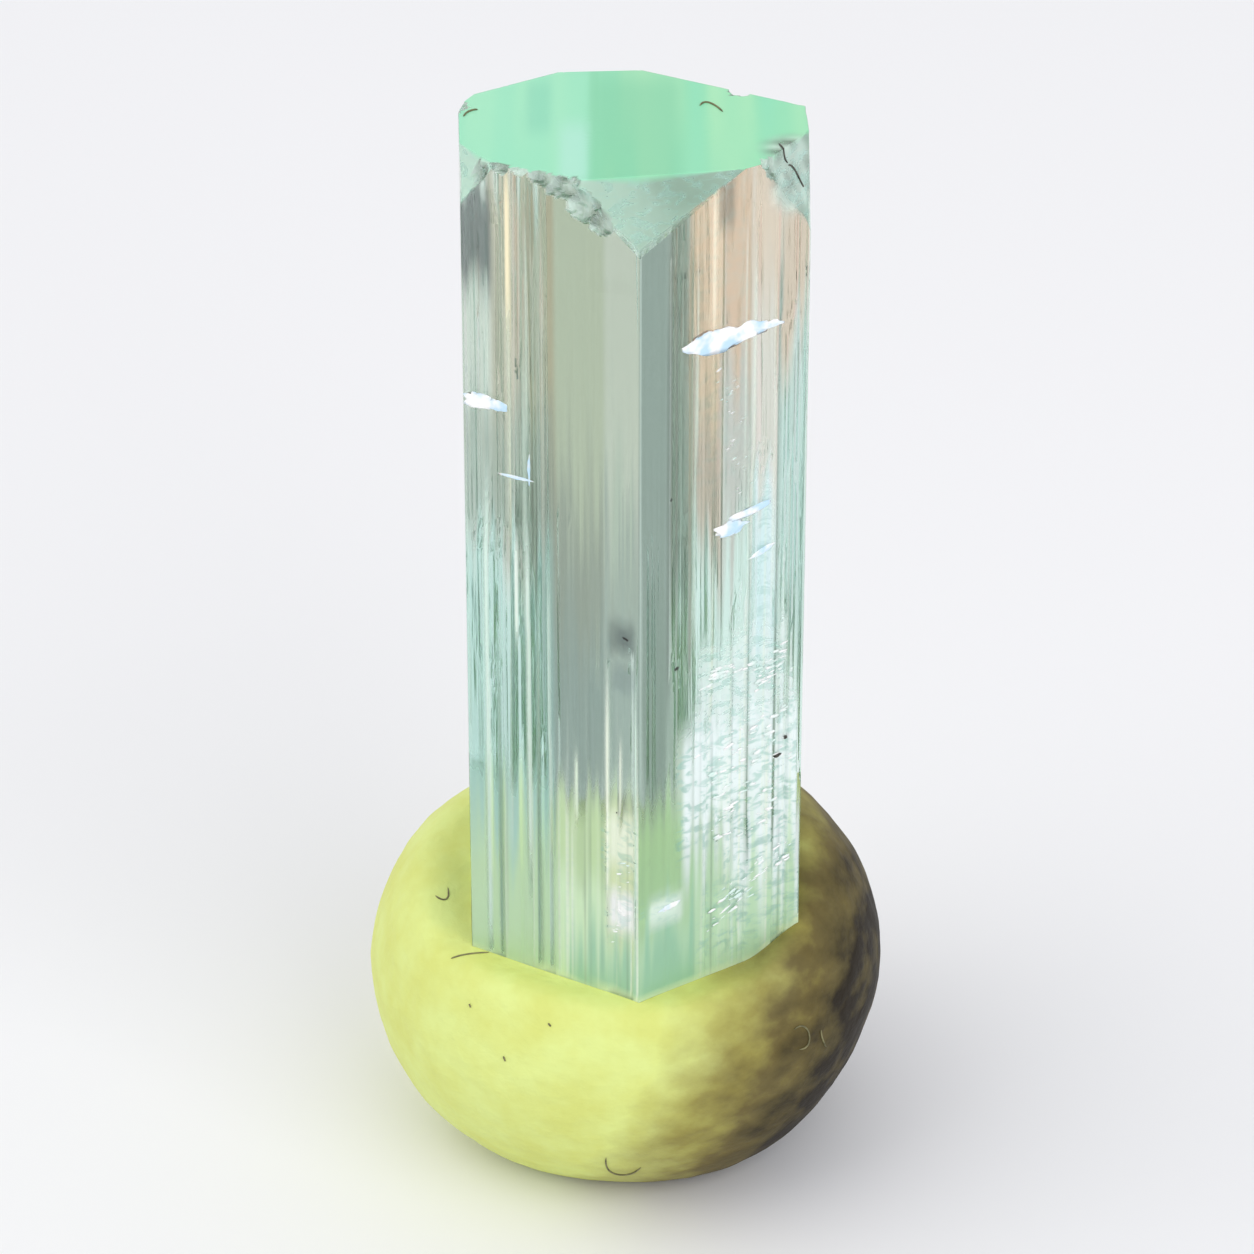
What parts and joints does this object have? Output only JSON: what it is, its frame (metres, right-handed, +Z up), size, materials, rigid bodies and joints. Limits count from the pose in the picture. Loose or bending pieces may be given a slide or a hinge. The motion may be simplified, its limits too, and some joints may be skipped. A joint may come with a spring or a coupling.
{
  "type": "aquamarine crystal",
  "caption": "Upright six-sided aquamarine prism with a flat, chipped top and lengthwise ledges, held standing in a ball of yellow-green putty pressed flat underneath.",
  "frame": {"origin": "middle of the flat underside of the putty ball, on the surface it stands on", "axes": "+Z up along the crystal, -Y towards the crystal's front edge, +X to its right"},
  "size_m": [0.0177, 0.0176, 0.0389],
  "materials": {
    "aquamarine": "natural crystal faces, glossy, finely ribbed lengthwise",
    "putty": "hand-rolled matte putty with faint finger marks"
  },
  "bodies": {
    "root": {"crystal": "aquamarine", "putty_base": "putty"}
  },
  "joints": []
}
